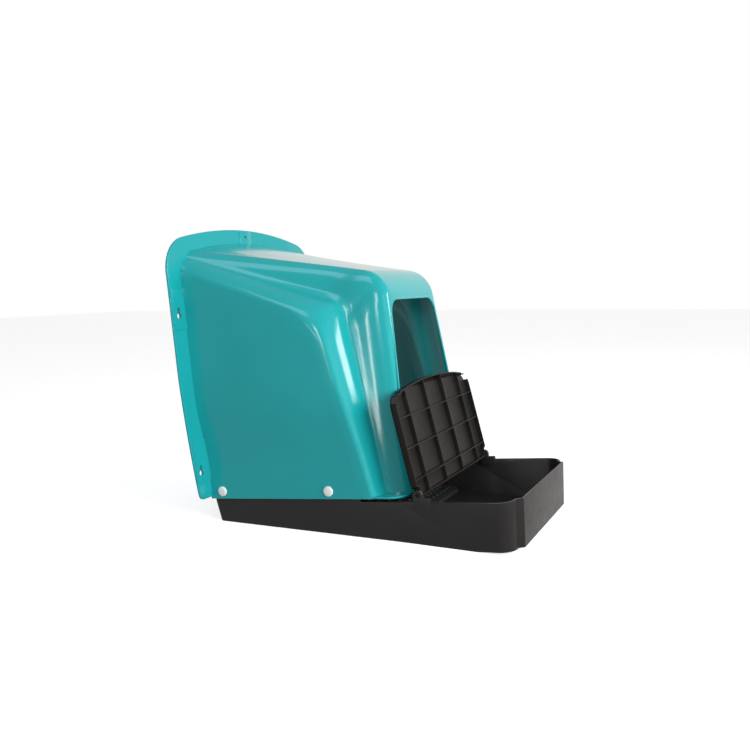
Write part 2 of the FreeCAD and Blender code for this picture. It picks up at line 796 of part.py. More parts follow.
def make_mat():
    """The removable moulded mat that the hen sits on, lying on the sloping floor."""
    body = DOC.addObject("PartDesign::Body", "nest_mat")
    half = term("mat_half")
    other = term("mat_half", -1.0)
    near = term("mat_rear", -1.0)
    far = term("mat_front", -1.0)
    corners = [(other, far), (half, far), (half, near), (other, near)]
    sketch = polygon_sketch(body, "mat_outline", "XY_Plane", corners)
    add_pad(body, "mat_block", sketch, term("mat_thick"))
    add_fillet(body, "mat_corners", term("mat_corner"), Vector(0, 0, 1), lambda p: True)
    slope = size("tray_floor_slope")
    lift = floor_up(0.0) + (size("tray_wall") + size("mat_gap")) / math.cos(math.radians(slope))
    return settle(body, "nest_mat", Placement(Vector(0, 0, lift), Rotation(Vector(1, 0, 0), slope)))


# ---------------------------------------------------------------- rivets


def lathe_body(name, profile):
    """A turned piece about its own Z axis from a profile of (radius, height) terms."""
    body = DOC.addObject("PartDesign::Body", name)
    sketch = polygon_sketch(body, f"{name}_profile", "XZ_Plane", profile)
    turn = body.newObject("PartDesign::Revolution", f"{name}_turn")
    turn.Profile = sketch
    turn.ReferenceAxis = (sketch, ["V_Axis"])
    turn.Angle = 360.0
    DOC.recompute()
    return body


def make_rivets():
    """Each rivet is a white plug with a shallow domed head, pushed through hood and tray into a socket."""
    stack = size("hood_wall") + size("tray_wall") + size("rivet_slack")
    tip = term("rivet_core_long", -1.0)
    zero = term("rivet_head_radius", 0.0)
    made = []
    for name, sign, forward in rivet_spots():
        plug = [
            (zero, tip),
            (term("rivet_core_radius"), tip),
            (term("rivet_core_radius"), zero),
            (term("rivet_head_radius"), zero),
            (term("rivet_head_radius"), term("rivet_head_high", 0.35)),
            (term("rivet_head_radius", 0.86), term("rivet_head_high", 0.75)),
            (term("rivet_head_radius", 0.55), term("rivet_head_high", 0.96)),
            (zero, term("rivet_head_high")),
        ]
        label = f"rivet_{name}"
        made.append(settle(lathe_body(label, plug), label, rivet_place(sign, forward, size("rivet_gap"))))
        under = term("socket_head_high", -1.0, -stack)
        shoulder = term("socket_head_high", -SOCKET_SHOULDER, -stack)
        seat = term("socket_head_high", 0.0, -stack)
        end = term("rivet_gap", -4.0)
        socket = [
            (term("rivet_core_radius"), under),
            (term("socket_head_radius"), shoulder),
            (term("socket_head_radius"), seat),
            (term("rivet_shank_radius"), seat),
            (term("rivet_shank_radius"), end),
            (term("rivet_core_radius"), end),
        ]
        label = f"socket_{name}"
        made.append(settle(lathe_body(label, socket), label, rivet_place(sign, forward, 0.0)))
    return made


# ---------------------------------------------------------------- build


def check(parts):
    DOC.recompute()
    for obj in DOC.Objects:
        if "Invalid" in obj.State or "Error" in obj.State:
            raise RuntimeError(f"{obj.Name} failed: {obj.State}")
    for part in parts:
        if part.Shape.isNull() or not part.Shape.isValid():
            raise RuntimeError(f"{part.Label} has no valid shape")
        print(part.Label, len(part.Shape.Solids), "solid,", round(part.Shape.Volume / 1000, 1), "cm3")


def main():
    fill_sheet()
    parts = [make_hood(), make_tray(), make_lid(), make_mat(), *make_rivets()]
    check(parts)
    os.makedirs("parts", exist_ok=True)
    for part in parts:
        part.Shape.exportStep(f"parts/{part.Label}.step")


main()
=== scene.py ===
"""Looks of the wall-hung roll-away nesting box: glossy teal hood, satin black tray and ribbed egg lid.

Lengths in the shape functions are millimetres in the part's working frame: x across, forward from the wall
and up from the tray's rim. place() turns them into the frame's metres.
"""

import json
import math

import bmesh
import bpy
from mathutils import Matrix, Vector


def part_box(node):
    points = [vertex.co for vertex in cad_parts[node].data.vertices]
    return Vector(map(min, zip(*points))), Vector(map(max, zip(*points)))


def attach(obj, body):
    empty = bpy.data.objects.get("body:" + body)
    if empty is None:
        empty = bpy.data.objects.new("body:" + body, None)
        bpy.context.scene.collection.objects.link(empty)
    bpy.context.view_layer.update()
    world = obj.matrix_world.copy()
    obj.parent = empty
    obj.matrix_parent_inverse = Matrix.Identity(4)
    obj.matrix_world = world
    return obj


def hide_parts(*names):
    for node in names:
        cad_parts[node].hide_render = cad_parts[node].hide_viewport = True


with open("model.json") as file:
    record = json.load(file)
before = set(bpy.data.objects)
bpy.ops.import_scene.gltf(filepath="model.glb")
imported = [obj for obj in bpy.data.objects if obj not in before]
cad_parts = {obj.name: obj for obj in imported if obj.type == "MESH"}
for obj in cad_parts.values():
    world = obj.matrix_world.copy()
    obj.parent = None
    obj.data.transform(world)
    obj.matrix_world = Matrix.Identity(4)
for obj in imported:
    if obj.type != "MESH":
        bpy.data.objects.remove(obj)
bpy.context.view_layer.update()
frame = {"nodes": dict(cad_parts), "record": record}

MM = 0.001
HINGE_UP = 9.0  # the lid's hinge over the tray's rim
RIM_UP = HINGE_UP - frame["record"]["behaviour"]["joints"][0]["pos_m"][2] / MM  # top screw hole over the rim
FLOOR_SLOPE = math.radians(5.1)
SIDES = (-1, 1)
AHEAD = (0, -1, 0)  # away from the wall, in the frame


def place(x, forward, up):
    """A point of the working frame, in the frame's metres."""
    return Vector((x * MM, -forward * MM, (up - RIM_UP) * MM))


# ---------------------------------------------------------------- mesh helpers

BEVEL_FROM = 40.0  # degrees
FLAT_WITHIN = 0.3  # degrees
JOIN_WITHIN = 0.000005  # metres


def new_object(name, bm):
    mesh = bpy.data.meshes.new(name)
    bmesh.ops.recalc_face_normals(bm, faces=bm.faces)
    bm.to_mesh(mesh)
    bm.free()
    obj = bpy.data.objects.new(name, mesh)
    bpy.context.scene.collection.objects.link(obj)
    return obj


def rings_solid(name, rings):
    """A closed solid through rings of points, with a flat face on each end."""
    bm = bmesh.new()
    rows = [[bm.verts.new(p) for p in ring] for ring in rings]
    count = len(rings[0])
    for low, high in zip(rows, rows[1:]):
        for i in range(count):
            j = (i + 1) % count
            bm.faces.new((low[i], low[j], high[j], high[i]))
    bm.faces.new(rows[0][::-1])
    bm.faces.new(rows[-1])
    return new_object(name, bm)


def block(name, low, high):
    """A box between two corners of the working frame."""
    corners = [(low[0], low[1]), (high[0], low[1]), (high[0], high[1]), (low[0], high[1])]
    return rings_solid(name, [[place(x, forward, up) for x, forward in corners] for up in (low[2], high[2])])


def tube(name, centre, axis, radius, length, steps=40):
    """A plain round bar from centre along axis."""
    axis = Vector(axis).normalized()
    across = axis.orthogonal().normalized()
    other = axis.cross(across)
    rings = []
    for along in (0.0, length):
        ring = []
        for i in range(steps):
            turn = math.tau * i / steps
            ring.append(centre + axis * along + (across * math.cos(turn) + other * math.sin(turn)) * radius)
        rings.append(ring)
    return rings_solid(name, rings)


def apply_modifiers(obj):
    depsgraph = bpy.context.evaluated_depsgraph_get()
    mesh = bpy.data.meshes.new_from_object(obj.evaluated_get(depsgraph))
    obj.modifiers.clear()
    obj.data = mesh
    return obj


def carve(obj, tool, operation):
    """Boolean of obj with tool, which is then removed."""
    change = obj.modifiers.new(operation, "BOOLEAN")
    change.operation = operation
    change.solver = "EXACT"
    change.object = tool
    apply_modifiers(obj)
    bpy.data.objects.remove(tool)
    return obj


def bevel(obj, width, segments=3):
    """Rounds every edge that turns by more than BEVEL_FROM degrees."""
    change = obj.modifiers.new("bevel", "BEVEL")
    change.width = width * MM
    change.segments = segments
    change.limit_method = "ANGLE"
    change.angle_limit = math.radians(BEVEL_FROM)
    change.use_clamp_overlap = True
    return apply_modifiers(obj)


def smooth(obj, angle):
    """Smooth shading that stays crisp where the surface turns sharply."""
    mesh = obj.data
    mesh.polygons.foreach_set("use_smooth", [True] * len(mesh.polygons))
    mesh.set_sharp_from_angle(angle=math.radians(angle))
    mesh.update()
    return obj


def merge_flat(obj):
    """Joins doubled points and merges faces that lie in one plane."""
    bm = bmesh.new()
    bm.from_mesh(obj.data)
    bmesh.ops.remove_doubles(bm, verts=bm.verts, dist=JOIN_WITHIN)
    bmesh.ops.dissolve_limit(bm, angle_limit=math.radians(FLAT_WITHIN), verts=bm.verts, edges=bm.edges)
    bm.to_mesh(obj.data)
    bm.free()
    return obj


def rounded_outline(corners, steps):
    """Points of a closed outline from ((x, forward), radius) corners, with its corners rounded."""
    points = []
    count = len(corners)
    for i, (corner, radius) in enumerate(corners):
        here = Vector(corner)
        if radius == 0.0:
            points.append(here)
            continue
        back = (Vector(corners[i - 1][0]) - here).normalized()
        ahead = (Vector(corners[(i + 1) % count][0]) - here).normalized()
        half = back.angle(ahead) / 2
        middle = here + (back + ahead).normalized() * radius / math.sin(half)
        start = here + back * radius / math.tan(half) - middle
        sweep = start.angle_signed(here + ahead * radius / math.tan(half) - middle)
        for k in range(steps + 1):
            turn = Matrix.Rotation(-sweep * k / steps, 2)
            points.append(middle + turn @ start)
    return points


# ---------------------------------------------------------------- hood

SKIN = 2.6
HOOD_BOTTOM = 4.5  # the hood's lower edge over the tray's rim
BEYOND = (300, 500, 600)  # across, forward and up, past the whole hood
SIDE_LONG = 312.0  # distance from the wall to the front end of the side panel's foot
SIDE_FOOT = (153.0, 164.0)  # the foot's half width there and at the wall
SIDE_BULGE = (2.5, 15.5)  # how far the panel swells above its foot, there and at the wall
BULGE_BETWEEN = (45.0, 175.0)  # heights between which it does

# Side-view profiles: the hood's crown, the foot of the arch that stands out of it, and the ridge below that
# foot, where the side panel turns in.
CROWN_LINE = dict(forward=324.0, lean=0.079, rear=393.0, fall=0.233, rounding=47.0)
CREASE_LINE = dict(forward=288.5, lean=0.184, rear=380.0, fall=0.40, rounding=28.0)
RIDGE_LINE = dict(forward=277.5, lean=0.215, rear=359.7, fall=0.4076, rounding=105.0)

ROUND_START = 1.2  # the side panel ends short of the crease by this many times the gap to the ridge
ROUND_PULLS = ((0.985, 0.72), (0.55, 0.16))  # across and down, the middle poles of its turn to the crease
ARCH_FOOT = 127.3  # the arch's half width at the rim's height, near the front
ARCH_TAPER = 0.062  # how much narrower it is with height
ARCH_FLARE = 0.239  # and how much wider toward the wall
ARCH_FLARE_FROM = 240.0  # from about this distance
ARCH_FLARE_BLEND = 18.0
EDGE_SET_IN = 26.0  # the arch's rounded edge, from its side inward
EDGE_SET_BACK = 29.0  # and from its crown backward at the rim's height
EDGE_GROWTH = 0.1  # and how much more it is with height
EDGE_TOP = 300.0  # up to here
EDGE_PULL = 0.3  # place of its curve's middle pole, as a share of the way in
EDGE_MOST = 0.8  # the most of the way from crown to crease that the edge may take
CREASE_EASE = 3.0  # the creases are rounded over about this length on each side
CREASE_SHARE = 0.3  # or over this share of the facet where it is short
EASED = 2  # points of a neighbouring curve that such a rounding takes the place of
CROWN_RISE = 2.0  # rise of the roof's middle over its edges, just behind the round
CROWN_GROWTH = 12.0  # and how much more it is at the wall
FAN_AXIS = (-40.0, -40.0)  # forward and up of the line that the hood's sections turn about
FAN_START = 60.0  # distance from that line at which each section starts
FAN_ENDS = (4.0, 97.0)  # degrees of the first section and the least of the last
FAN_CLOSE = (42.0, 56.5)  # between these, where the front turns into the roof, the sections lie close
FAN_STEPS = (0.3, 1.5)  # degrees from section to section there and elsewhere
FAN_CROWN = (44.0, 56.0)  # degrees between which the crown rises by CROWN_RISE
FAN_ROOF = (50.0, 84.7)  # and between which it rises by CROWN_GROWTH
SIDE_STEPS = 16  # pieces of each part of a section
TURN_STEPS = 24
EASE_STEPS = 6
FACET_STEPS = 3
EDGE_STEPS = 18
CROWN_STEPS = 16  # over the whole width


def share_between(value, low, high):
    return min(1.0, max(0.0, (value - low) / (high - low)))


def smooth_step(value, low, high):
    t = share_between(value, low, high)
    return t * t * (3 - 2 * t)


def side_half(forward, up):
    """Half width of the hood's side panel."""
    reach = (SIDE_LONG - forward) / SIDE_LONG
    foot = SIDE_FOOT[0] + reach * (SIDE_FOOT[1] - SIDE_FOOT[0])
    bulge = SIDE_BULGE[0] + reach * (SIDE_BULGE[1] - SIDE_BULGE[0])
    return foot + bulge * smooth_step(up, *BULGE_BETWEEN)


def arch_half(forward, up):
    """Half width of the narrower arch that stands out of the hood's body."""
    behind = ARCH_FLARE_FROM - forward
    soft = 0.5 * (behind + math.sqrt(behind * behind + ARCH_FLARE_BLEND**2))
    return ARCH_FOOT - ARCH_TAPER * up + ARCH_FLARE * soft


def profile_reach(angle, forward, lean, rear, fall, rounding):
    """Distance from the fan's axis to a side-view profile: a leaning front, a round and a falling roof."""
    front = Vector((forward, 0))
    front_way = Vector((-lean, 1)).normalized()
    roof = Vector((0, rear))
    roof_way = Vector((1, -fall)).normalized()
    gap = roof - front
    along = gap.cross(roof_way) / front_way.cross(roof_way)
    corner = front + front_way * along
    turn = math.acos(-front_way.dot(roof_way))
    setback = rounding * math.tan(turn / 2)
    start = corner - front_way * setback
    end = corner - roof_way * setback
    centre = start + Vector((-front_way.y, front_way.x)) * rounding
    axis = Vector(FAN_AXIS)
    ray = Vector((math.cos(math.radians(angle)), math.sin(math.radians(angle))))

    def line_reach(point, way):
        return (point - axis).cross(way) / ray.cross(way)

    def bearing(point):
        gap = point - axis
        return math.degrees(math.atan2(gap.y, gap.x))

    if angle <= bearing(start):
        return line_reach(front, front_way)
    if angle >= bearing(end):
        return line_reach(roof, roof_way)
    to_centre = centre - axis
    middle = to_centre.dot(ray)
    return middle + math.sqrt(rounding**2 - to_centre.length_squared + middle**2)


def fan_place(angle, reach):
    turn = math.radians(angle)
    return reach * math.cos(turn) + FAN_AXIS[0], reach * math.sin(turn) + FAN_AXIS[1]


def bezier(poles, steps):
    """Points of a curve through (half width, reach) poles, without its first point."""
    found = []
    for i in range(1, steps + 1):
        t = i / steps
        level = [Vector(pole) for pole in poles]
        while len(level) > 1:
            level = [a.lerp(b, t) for a, b in zip(level, level[1:])]
        found.append(tuple(level[0]))
    return found


def half_section(angle, skin):
    """One half of a hood section, from its foot to the middle of the crown, as (half width, reach) pairs."""
    ridge = profile_reach(angle, **RIDGE_LINE) - skin
    crease = profile_reach(angle, **CREASE_LINE) - skin
    crown = profile_reach(angle, **CROWN_LINE) - skin
    points = []
    start = crease - ROUND_START * (crease - ridge)
    for i in range(SIDE_STEPS + 1):
        reach = FAN_START + (start - FAN_START) * i / SIDE_STEPS
        points.append((side_half(*fan_place(angle, reach)) - skin, reach))
    shoulder = side_half(*fan_place(angle, crease)) - skin
    inner = arch_half(*fan_place(angle, crease)) - skin
    forward, up = fan_place(angle, crown)
    facet = arch_half(forward, up) - skin
    set_back = EDGE_SET_BACK + EDGE_GROWTH * max(0.0, min(up, EDGE_TOP))
    facet_end = crown - min(set_back, EDGE_MOST * (crown - crease))
    pulls = []
    for across, down in ROUND_PULLS:
        pulls.append((inner + across * (shoulder - inner), crease - down * (crease - ridge)))
    points += bezier([points[-1], *pulls, (inner, crease)], TURN_STEPS)[:-EASED]
    foot, brow = Vector((inner, crease)), Vector((facet, facet_end))
    rise = (brow - foot).normalized() * min(CREASE_EASE, CREASE_SHARE * (brow - foot).length)
    points += bezier([points[-1], foot, foot + rise], EASE_STEPS)
    points += bezier([foot + rise, brow - rise], FACET_STEPS)
    flat = facet - EDGE_SET_IN
    edge = bezier([brow, (facet - EDGE_PULL * EDGE_SET_IN, crown), (flat, crown)], EDGE_STEPS)
    points += bezier([brow - rise, brow, edge[EASED - 1]], EASE_STEPS) + edge[EASED:]
    dome = CROWN_RISE * smooth_step(angle, *FAN_CROWN) + CROWN_GROWTH * share_between(angle, *FAN_ROOF) ** 2
    whole = bezier([(flat, crown), (0.0, crown + 2 * dome), (-flat, crown)], CROWN_STEPS)
    return points + whole[: CROWN_STEPS // 2]


def fan_angles():
    """Angles of the hood's sections, closest where its front turns into its roof."""
    angles = [FAN_ENDS[0]]
    while angles[-1] < FAN_ENDS[1]:
        close = FAN_CLOSE[0] <= angles[-1] < FAN_CLOSE[1]
        angles.append(angles[-1] + (FAN_STEPS[0] if close else FAN_STEPS[1]))
    return angles


def hood_block(name, skin, rear, bottom):
    """The hood's form as a full block, cut off at its rear and at its bottom edge."""
    rings = []
    for angle in fan_angles():
        half = half_section(angle, skin)
        ring = [(-w, r) for w, r in half] + [(w, r) for w, r in half[-2::-1]]
        points = []
        for width, reach in ring:
            forward, up = fan_place(angle, reach)
            points.append(place(width, forward, up))
        rings.append(points)
    form = rings_solid(name, rings)
    return carve(form, block("keep", (-BEYOND[0], rear, bottom), BEYOND), "INTERSECT")


# The wall flange's right half: two points at its foot, then three points of each arc up to the top's middle.
FLANGE_FOOT = ((184.0, 8.0), (190.4, 10.6))
FLANGE_SIDE = ((193.0, 17.0), (203.4, 113.6), (208.5, 200.0))
FLANGE_CORNER = ((208.5, 350.0), (196.0, 391.0), (163.0, 411.0))
FLANGE_BROW = ((163.0, 411.0), (84.0, 423.8), (0.0, 428.5))
FLANGE_THICK = 3.0
FLANGE_ROUND = 1.2  # radius of its front edge
FLANGE_ROUND_STEPS = 6
PAD_REAR = 1.0  # the pads start inside the flange
PAD_RISE = 1.2  # and stand out of it by this
PAD_EASE = 0.5
TOP_PAD = (-16, 16, 395, 426.5)  # low and high x, low and high up
SIDE_PADS = ((270, 332, 170, 207), (36, 101, 160, 196))  # low and high up, near and far x
KEYHOLES = ((194.0, 291.0), (184.6, 49.5))  # x and up
KEYHOLE_RADIUS = 4.6
SLOT_RADIUS = 2.3
SLOT_RISE = 10.5
TOP_HOLE_RADIUS = 2.6
TOP_HOLE_LONG = 10
CUT_FROM = -2.0  # the flange's holes are cut from just behind its rear face
CUT_LONG = 12
ARC_STEPS = 24  # pieces of each arc
BROW_STEPS = 20
SMALL_HOLE_SIDES = 24


def arc_points(first, middle, last, steps):
    """Points of the circle through three points, from the first up to, not including, the last."""
    a, b, c = Vector(first), Vector(middle), Vector(last)
    d = 2 * (a.x * (b.y - c.y) + b.x * (c.y - a.y) + c.x * (a.y - b.y))
    sq = [p.length_squared for p in (a, b, c)]
    centre = Vector((
        (sq[0] * (b.y - c.y) + sq[1] * (c.y - a.y) + sq[2] * (a.y - b.y)) / d,
        (sq[0] * (c.x - b.x) + sq[1] * (a.x - c.x) + sq[2] * (b.x - a.x)) / d,
    ))
    start = a - centre
    sweep = start.angle_signed(b - centre) + (b - centre).angle_signed(c - centre)
    return [centre + Matrix.Rotation(-sweep * k / steps, 2) @ start for k in range(steps)]


def flange_outline():
    """The wall flange's outline as (x, up) points, anticlockwise from its right foot."""
    right = [Vector(p) for p in FLANGE_FOOT]
    right += arc_points(*FLANGE_SIDE, ARC_STEPS) + [Vector(FLANGE_SIDE[-1])]
    right += arc_points(*FLANGE_CORNER, ARC_STEPS)
    right += arc_points(*FLANGE_BROW, BROW_STEPS)
    left = [Vector((-p.x, p.y)) for p in reversed(right)]
    return right + [Vector(FLANGE_BROW[-1])] + left


def inset_outline(points, distance):
    """A closed anticlockwise outline moved inward."""
    moved = []
    count = len(points)
    for i, point in enumerate(points):
        way = (points[(i + 1) % count] - points[i - 1]).normalized()
        moved.append(point + Vector((-way.y, way.x)) * distance)
    return moved


def flange_plate():
    """The wall flange with its front edge rounded over."""
    outline = flange_outline()
    rings = [[place(p.x, 0.0, p.y) for p in outline]]
    for step in range(FLANGE_ROUND_STEPS + 1):
        turn = math.radians(90 * step / FLANGE_ROUND_STEPS)
        inset = FLANGE_ROUND * (1 - math.cos(turn))
        forward = FLANGE_THICK - FLANGE_ROUND + FLANGE_ROUND * math.sin(turn)
        rings.append([place(p.x, forward, p.y) for p in inset_outline(outline, inset)])
    return rings_solid("flange", rings)


def flange_pad(low_x, high_x, low_up, high_up):
    """A raised pad with eased edges on the flange."""
    front = FLANGE_THICK + PAD_RISE
    return bevel(block("pad", (low_x, PAD_REAR, low_up), (high_x, front, high_up)), PAD_EASE)


def keyhole(half, up):
    """A keyhole through the flange: a round hole with a slot over it."""
    back = place(half, CUT_FROM, up)
    hole = tube("keyhole", back, AHEAD, KEYHOLE_RADIUS * MM, CUT_LONG * MM)
    low = (half - SLOT_RADIUS, CUT_FROM, up)
    slot = block("slot", low, (half + SLOT_RADIUS, CUT_FROM + CUT_LONG, up + SLOT_RISE))
    top = back + Vector((0, 0, SLOT_RISE * MM))
    tip = tube("tip", top, AHEAD, SLOT_RADIUS * MM, CUT_LONG * MM, SMALL_HOLE_SIDES)
    carve(hole, slot, "UNION")
    return carve(hole, tip, "UNION")


# The right half of the doorway, from its foot up: the outline's corners as (x, up), each with its radius.
DOORWAY = (((105.5, 72.0), 18.0), ((101.0, 153.0), 0.0), ((82.5, 284.5), 27.0))
DOORWAY_CUT = (200, 400)  # distances from the wall between which the doorway is cut
DOORWAY_STEPS = 14  # pieces of each rounded corner
BEAD_RADIUS = 1.7
BEAD_BEHIND = 1.0  # the bead's middle behind the hood's outer face
BEAD_STEP = 6.0  # the longest straight piece along it
BEAD_SIDES = 12


def doorway_outline():
    """The hen's entrance, as (x, up) points."""
    left = [((-x, up), radius) for (x, up), radius in reversed(DOORWAY)]
    return rounded_outline(list(DOORWAY) + left, DOORWAY_STEPS)


def doorway():
    outline = doorway_outline()
    return rings_solid("doorway", [[place(p.x, forward, p.y) for p in outline] for forward in DOORWAY_CUT])


def doorway_bead():
    """The doorway's rounded edge, a bead along the middle of the wall."""
    bm = bmesh.new()
    outline = doorway_outline()
    fine = []
    for a, b in zip(outline, outline[1:] + outline[:1]):
        pieces = max(1, int((b - a).length / BEAD_STEP))
        fine += [a + (b - a) * k / pieces for k in range(pieces)]
    centres = []
    for p in fine:
        forward = CROWN_LINE["forward"] - CROWN_LINE["lean"] * p.y - BEAD_BEHIND
        over = abs(p.x) - (arch_half(forward, p.y) - EDGE_SET_IN)
        if over > 0:
            forward -= over**2 / (4 * EDGE_SET_IN)
        centres.append(place(p.x, forward, p.y))
    rows = []
    count = len(centres)
    for i, centre in enumerate(centres):
        along = (centres[(i + 1) % count] - centres[i - 1]).normalized()
        across = Vector((0, -1, -CROWN_LINE["lean"])).normalized()
        out = along.cross(across).normalized()
        row = []
        for k in range(BEAD_SIDES):
            turn = math.tau * k / BEAD_SIDES
            way = across * math.cos(turn) + out * math.sin(turn)
            row.append(bm.verts.new(centre + way * BEAD_RADIUS * MM))
        rows.append(row)
    for i in range(count):
        for k in range(BEAD_SIDES):
            j = (k + 1) % BEAD_SIDES
            bm.faces.new((rows[i - 1][k], rows[i][k], rows[i][j], rows[i - 1][j]))
    return new_object("doorway_bead", bm)


LIP_HALF = 153.4
LIP_FRONT = 325.5
LIP_BACK = 262.0
LIP_CORNER = 27.0
LIP_CORNER_STEPS = 12
LIP_THICK = 3.0
LIP_EASE = 0.9
LIP_EASE_STEPS = 4


def hood_lip():
    """The turned-out edge along the hood's front bottom edge."""
    corners = [
        ((-LIP_HALF, LIP_BACK), 0.0),
        ((LIP_HALF, LIP_BACK), 0.0),
        ((LIP_HALF, LIP_FRONT), LIP_CORNER),
        ((-LIP_HALF, LIP_FRONT), LIP_CORNER),
    ]
    outline = rounded_outline(corners, LIP_CORNER_STEPS)
    heights = (HOOD_BOTTOM, HOOD_BOTTOM + LIP_THICK)
    lip = rings_solid("lip", [[place(p.x, p.y, up) for p in outline] for up in heights])
    return bevel(lip, LIP_EASE, LIP_EASE_STEPS)


RIVET_ROWS = (("rear", 23.0), ("front", 207.5))  # each pair's name and its distance from the wall
RIVET_UP = 16.0
RIVET_HOLE_RADIUS = 3.25
RIVET_HOLE_INSIDE = 12  # the hole's cut starts this far inside the side panel
RIVET_HOLE_LONG = 20
SHELL_REAR = 1.0  # the hood's walls end inside the flange
HOOD_CRISP = 30.0  # degrees from which an edge stays crisp in the shading
HOLLOW_FROM = (-3.0, -2.0)  # forward and up of the hollow's start, past the hood's rear and bottom


def rivet_spots():
    """Name, side sign and distance from the wall of each rivet."""
    for end, forward in RIVET_ROWS:
        for side, sign in zip(("left", "right"), SIDES):
            yield f"{end}_{side}", sign, forward


def rivet_hole(sign, forward):
    start = place(sign * (side_half(forward, RIVET_UP) - RIVET_HOLE_INSIDE), forward, RIVET_UP)
    radius, length = RIVET_HOLE_RADIUS * MM, RIVET_HOLE_LONG * MM
    return tube("rivet_hole", start, (sign, 0, 0), radius, length, SMALL_HOLE_SIDES)


def make_hood():
    hood = hood_block("hood_shell", 0.0, SHELL_REAR, HOOD_BOTTOM)
    carve(hood, flange_plate(), "UNION")
    carve(hood, hood_lip(), "UNION")
    carve(hood, flange_pad(*TOP_PAD), "UNION")
    for sign in SIDES:
        for low, high, near, far in SIDE_PADS:
            ends = sorted((sign * near, sign * far))
            carve(hood, flange_pad(*ends, low, high), "UNION")
    carve(hood, hood_block("inner", SKIN, *HOLLOW_FROM), "DIFFERENCE")
    carve(hood, doorway(), "DIFFERENCE")
    carve(hood, doorway_bead(), "UNION")
    for half, up in KEYHOLES:
        for sign in SIDES:
            carve(hood, keyhole(sign * half, up), "DIFFERENCE")
    top_hole = tube("top_hole", place(0, CUT_FROM, RIM_UP), AHEAD, TOP_HOLE_RADIUS * MM, TOP_HOLE_LONG * MM)
    carve(hood, top_hole, "DIFFERENCE")
    for _, sign, forward in rivet_spots():
        carve(hood, rivet_hole(sign, forward), "DIFFERENCE")
    return smooth(hood, HOOD_CRISP)


# ---------------------------------------------------------------- tray, lid and mat

COPY_CRISP = 35.0  # degrees, as HOOD_CRISP
MAT_CRISP = 50.0
TRAY_EASE = 0.5  # how wide the copies' edges are rounded
LID_EASE = 0.35
MAT_EASE = 1.6
MAT_MARGIN = 9.0  # from the mat's edge to the outermost nubs' middles
MAT_PITCH = 15.0
NUB_RADII = (4.2, 3.9, 2.6, 1.2)  # from each nub's foot, sunk in the mat, to its tip
NUB_HEIGHTS = (-1.0, 0.8, 2.2, 2.6)
NUB_SIDES = 10


def eased_copy(node, name, width):
    """A copy of a CAD node's form with its edges rounded over."""
    source = frame["nodes"][node]
    copy = bpy.data.objects.new(name, source.data.copy())
    bpy.context.scene.collection.objects.link(copy)
    copy.data.materials.clear()
    merge_flat(copy)
    bevel(copy, width)
    return smooth(copy, COPY_CRISP)


def add_nub(bm, foot, lean):
    """A soft nub standing on the mat."""
    rings = []
    for radius, height in zip(NUB_RADII, NUB_HEIGHTS):
        ring = []
        for k in range(NUB_SIDES):
            turn = math.tau * k / NUB_SIDES
            offset = Vector((radius * math.cos(turn), radius * math.sin(turn), height)) * MM
            ring.append(bm.verts.new(foot + lean @ offset))
        rings.append(ring)
    for lower, upper in zip(rings, rings[1:]):
        for k in range(NUB_SIDES):
            j = (k + 1) % NUB_SIDES
            bm.faces.new((lower[k], lower[j], upper[j], upper[k]))
    bm.faces.new(rings[0][::-1])
    bm.faces.new(rings[-1])


def make_mat():
    """The nest mat: a pad with eased edges and rows of nubs, every other row shifted by half a pitch."""
    mat = eased_copy("nest_mat", "nest_mat_pad", MAT_EASE)
    low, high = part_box("nest_mat")
    margin = MAT_MARGIN * MM
    pitch = MAT_PITCH * MM
    lean = Matrix.Rotation(FLOOR_SLOPE, 3, "X")
    rows = int((high[1] - low[1] - 2 * margin) / pitch)
    bm = bmesh.new()
    bm.from_mesh(mat.data)
    for row in range(rows + 1):
        y = high[1] - margin - row * pitch
        top = high[2] - (high[1] - y) * math.tan(FLOOR_SLOPE)
        shift = 0.5 * (row % 2)
        columns = int((high[0] - low[0] - 2 * margin) / pitch - shift)
        for column in range(columns + 1):
            add_nub(bm, Vector((low[0] + margin + (column + shift) * pitch, y, top)), lean)
    bm.to_mesh(mat.data)
    bm.free()
    return smooth(mat, MAT_CRISP)


# ---------------------------------------------------------------- materials


def material(name):
    made = bpy.data.materials.new(name)
    made.use_nodes = True
    nodes = made.node_tree.nodes
    return made, nodes, made.node_tree.links, nodes["Principled BSDF"]


def noise_node(nodes, links, coords, scale, detail, roughness=0.55):
    node = nodes.new("ShaderNodeTexNoise")
    node.inputs["Scale"].default_value = scale
    node.inputs["Detail"].default_value = detail
    node.inputs["Roughness"].default_value = roughness
    links.new(coords.outputs["Object"], node.inputs["Vector"])
    return node


def ramp_node(nodes, links, source, stops):
    node = nodes.new("ShaderNodeValToRGB")
    while len(node.color_ramp.elements) < len(stops):
        node.color_ramp.elements.new(0.5)
    for element, (position, colour) in zip(node.color_ramp.elements, stops):
        element.position = position
        element.color = (*colour, 1.0)
    links.new(source, node.inputs["Fac"])
    return node


def bump_node(nodes, links, source, strength, distance, before=None):
    node = nodes.new("ShaderNodeBump")
    node.inputs["Strength"].default_value = strength
    node.inputs["Distance"].default_value = distance
    links.new(source, node.inputs["Height"])
    if before:
        links.new(before.outputs["Normal"], node.inputs["Normal"])
    return node


DRIFT_SCALE = 9.0  # the noises' scales, per metre
SCUFF_SCALE = 60.0
WAVE_SCALE = 14.0
GRAIN_STRENGTH = 0.35
WAVE_STRENGTH = 0.5


